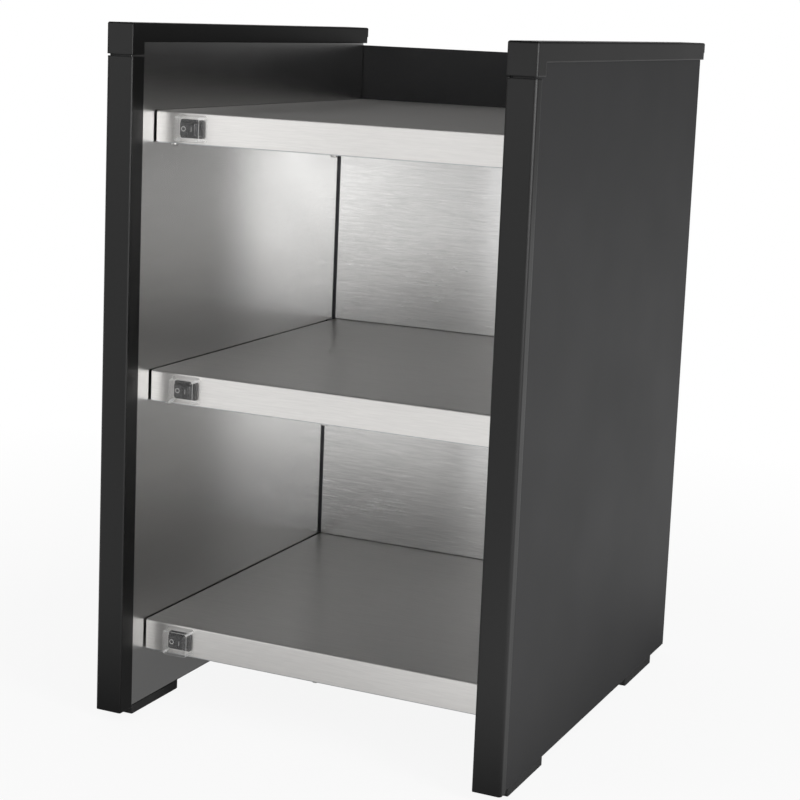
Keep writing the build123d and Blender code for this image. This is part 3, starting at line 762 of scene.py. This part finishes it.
def painted_floor_reflection(tree, split):
    """How brightly steel sees the floor at x and y, with painted shade near the foot and painted light
    on the right.
    """
    past_edge = []
    for axis, half_size in (("X", cad_box[1][0]), ("Y", cad_box[1][1])):
        away = math_node(tree, "ABSOLUTE", split.outputs[axis], 0)
        past_edge.append(math_node(tree, "SUBTRACT", away, half_size))
    outside = math_node(tree, "MAXIMUM", *past_edge)
    # Painted shade near the warmer's foot, on the left and behind; painted light on the right.
    foot = ranged(tree, outside, painted_shade_at_foot, 1, *foot_fade)
    side = ranged(tree, split.outputs["X"], painted_shade_left, painted_light_right, *side_fade)
    rear = ranged(tree, split.outputs["Y"], 1, painted_shade_behind, *rear_fade)
    return math_node(tree, "MULTIPLY", math_node(tree, "MULTIPLY", foot, side), rear)


def pale_floor():
    sketch = bmesh.new()
    bmesh.ops.create_grid(sketch, x_segments=1, y_segments=1, size=floor_span / 2)
    mesh = bpy.data.meshes.new("floor")
    sketch.to_mesh(mesh)
    sketch.free()
    floor = bpy.data.objects.new("floor", mesh)
    bpy.context.collection.objects.link(floor)
    material, tree, shader = shader_named("pale_floor", (floor_grey,) * 3, 0, 0.6)
    place = tree.nodes.new("ShaderNodeTexCoord")
    length = tree.nodes.new("ShaderNodeVectorMath")
    length.operation = "LENGTH"
    tree.links.new(place.outputs["Object"], length.inputs[0])
    far = ranged(tree, length.outputs["Value"], floor_glow, 1, shadow_reach, white_reach)
    split = tree.nodes.new("ShaderNodeSeparateXYZ")
    tree.links.new(place.outputs["Object"], split.inputs["Vector"])
    painted_reflection_level = painted_floor_reflection(tree, split)
    white = tree.nodes.new("ShaderNodeEmission")
    white.inputs["Color"].default_value = (1, 1, 1, 1)
    both = tree.nodes.new("ShaderNodeMixShader")
    path = tree.nodes.new("ShaderNodeLightPath")
    direct = math_node(tree, "MULTIPLY", far, path.outputs["Is Camera Ray"])
    bounced = math_node(tree, "MAXIMUM", path.outputs["Is Glossy Ray"],
                        path.outputs["Is Transmission Ray"])
    shown = math_node(tree, "ADD", math_node(tree, "SUBTRACT", 1, bounced),
                      math_node(tree, "MULTIPLY", bounced, painted_reflection_level))
    tree.links.new(shown, white.inputs["Strength"])
    tree.links.new(math_node(tree, "MAXIMUM", direct, bounced), both.inputs["Fac"])
    tree.links.new(shader.outputs["BSDF"], both.inputs[1])
    tree.links.new(white.outputs["Emission"], both.inputs[2])
    tree.links.new(both.outputs["Shader"], tree.nodes["Material Output"].inputs["Surface"])
    mesh.materials.append(material)
    floor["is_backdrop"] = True


pale_floor()
print("floor", floor_span, "m wide")

# %% [markdown]
# The world is white to the camera, and gives an even light to matt surfaces.
# What metal mirrors of it is a dim room with soft light panels round it.
# Each panel has its azimuth from the front, half its width, its lowest and highest level
# and its strength, so moving a light means changing one number.

# %% World
def turned_towards(tree, way, azimuth, half_width, blur):
    """1 where a level direction is within half_width of azimuth, in degrees right of -Y, else 0."""
    a = math.radians(azimuth)
    dot = tree.nodes.new("ShaderNodeVectorMath")
    dot.operation = "DOT_PRODUCT"
    dot.inputs[1].default_value = (math.sin(a), -math.cos(a), 0)
    tree.links.new(way, dot.inputs[0])
    edge = math.cos(math.radians(half_width + blur))
    inside = math.cos(math.radians(half_width))
    return ranged(tree, dot.outputs["Value"], 0, 1, edge, inside)


room_level = 0.5
studio_base = 0.08
panel_blur = 5
panel_fade = 0.04
studio_panels = (
    (-22, 14, -1, 0.15, 1.25),
    (39, 11, -1, 0.15, 4.3),
    (80, 30, -1, 0.15, 2.0),
    (166, 14, -1, 0.15, 0.22),
    (210, 30, -1, 0.15, 0.75),
    (265, 25, -1, 0.15, 0.6),
    (0, 20, 0.15, 0.5, 0.5),
    (0, 180, 0.5, 2, 0.3),
)


def studio_world():
    world = bpy.data.worlds.new("studio")
    bpy.context.scene.world = world
    world.use_nodes = True
    tree = world.node_tree
    even = tree.nodes["Background"]
    even.inputs["Color"].default_value = (1, 1, 1, 1)
    even.inputs["Strength"].default_value = room_level
    way = tree.nodes.new("ShaderNodeTexCoord").outputs["Generated"]
    height = tree.nodes.new("ShaderNodeSeparateXYZ")
    tree.links.new(way, height.inputs["Vector"])
    mirrored = studio_base
    for azimuth, half_width, low, high, strength in studio_panels:
        beside = turned_towards(tree, way, azimuth, half_width, panel_blur)
        above = ranged(tree, height.outputs["Z"], 0, 1, low - panel_fade, low + panel_fade)
        below = ranged(tree, height.outputs["Z"], 1, 0, high - panel_fade, high + panel_fade)
        inside = math_node(tree, "MULTIPLY", math_node(tree, "MULTIPLY", above, below), beside)
        mirrored = math_node(tree, "ADD", mirrored, math_node(tree, "MULTIPLY", inside, strength))
    path = tree.nodes.new("ShaderNodeLightPath")
    bright = math_node(tree, "MAXIMUM", mirrored, path.outputs["Is Camera Ray"])
    shown = tree.nodes.new("ShaderNodeBackground")
    tree.links.new(bright, shown.inputs["Color"])
    seen = math_node(tree, "MAXIMUM", path.outputs["Is Camera Ray"], path.outputs["Is Glossy Ray"])
    seen = math_node(tree, "MAXIMUM", seen, path.outputs["Is Transmission Ray"])
    both = tree.nodes.new("ShaderNodeMixShader")
    tree.links.new(seen, both.inputs["Fac"])
    tree.links.new(even.outputs["Background"], both.inputs[1])
    tree.links.new(shown.outputs["Background"], both.inputs[2])
    tree.links.new(both.outputs["Shader"], tree.nodes["World Output"].inputs["Surface"])


studio_world()
print("panels", len(studio_panels))

# %% [markdown]
# Two soft lamps: a large, weak one in front on the left, and a tall, stronger one on the right.
# The one on the right draws a thin line of light down the rounded corners of the posts.

# %% Lamps
def soft_lamp(name, place, size, power):
    lamp = bpy.data.lights.new(name, "AREA")
    lamp.shape = "RECTANGLE"
    lamp.size = size[0]
    lamp.size_y = size[1]
    lamp.energy = power
    holder = bpy.data.objects.new(name, lamp)
    bpy.context.collection.objects.link(holder)
    holder.location = place
    holder.rotation_euler = (centre - Vector(place)).to_track_quat("-Z", "Y").to_euler()


key_watts = 5
edge_watts = 26
key_place = (-1.5, -1.9, 1.3)
edge_place = (2.0, -0.9, 0.9)
soft_lamp("key_lamp", key_place, (1.2, 1.2), key_watts)
soft_lamp("edge_lamp", edge_place, (0.7, 1.4), edge_watts)
print("lamps of", key_watts, "and", edge_watts, "watts")

# %% [markdown]
# The camera stands where the photographer stood, a little to the right and just above the top shelf.
# Its turn is built from the three angles that a photographer would name: yaw, pitch and roll.

# %% Camera
eye = Vector((0.6718, -1.5041, 0.5921))
yaw = math.radians(24.535)
pitch = math.radians(-8.884)
roll = math.radians(-2.365)
lens_mm = 86.45
sensor_mm = 36.0
frame_rise = -0.11


def photographer():
    camera = bpy.data.cameras.new("camera")
    camera.lens = lens_mm
    camera.sensor_width = sensor_mm
    camera.shift_y = frame_rise
    holder = bpy.data.objects.new("camera", camera)
    bpy.context.collection.objects.link(holder)
    turned = Matrix.Identity(4)
    for angle, axis in ((yaw, "Z"), (pitch, "X"), (roll, "Y")):
        turned = turned @ Matrix.Rotation(angle, 4, axis)
    level = Euler((math.pi / 2, 0, 0)).to_matrix().to_4x4()
    holder.matrix_world = Matrix.Translation(eye) @ turned @ level
    bpy.context.scene.camera = holder
    bpy.context.scene.view_settings.view_transform = "Standard"


photographer()
print("camera at", tuple(round(v, 3) for v in eye))

# %% [markdown]
# The last step measures the box of the solids and of the dressed warmer, and prints both.

# %% Sizes and finish
boxes = {"cad": [list(c) for c in cad_box], "visual": [list(c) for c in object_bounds()]}
print("boxes", boxes)
